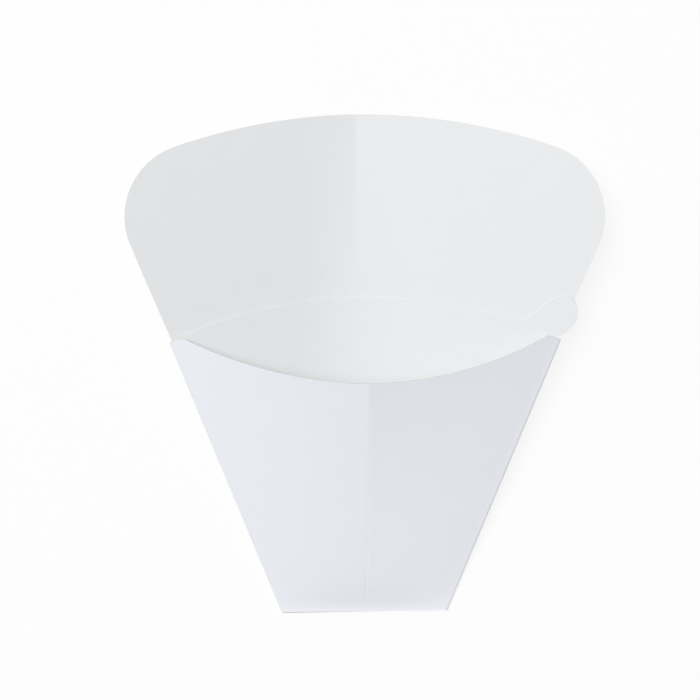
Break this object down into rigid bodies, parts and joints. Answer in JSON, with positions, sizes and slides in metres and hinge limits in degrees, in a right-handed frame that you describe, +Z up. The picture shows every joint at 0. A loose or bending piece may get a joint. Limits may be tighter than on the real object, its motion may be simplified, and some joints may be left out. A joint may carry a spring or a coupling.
{
  "type": "crepe holder",
  "caption": "Folded white card holder for a rolled or folded crepe, with a tall rounded back, a hollow-cut front pocket and a closed flat base, opened and lying on its back.",
  "frame": {"origin": "middle of the box's underside, on the surface that the holder lies on", "axes": "+X across to the side with the ear, +Y from the closed base to the rounded top, +Z up out of the back board towards the front board"},
  "size_m": [0.1674, 0.1802, 0.0246],
  "materials": {
    "bleached_board": "smooth bleached food board, matt"
  },
  "bodies": {
    "root": {"folded_card": "bleached_board"}
  },
  "joints": []
}
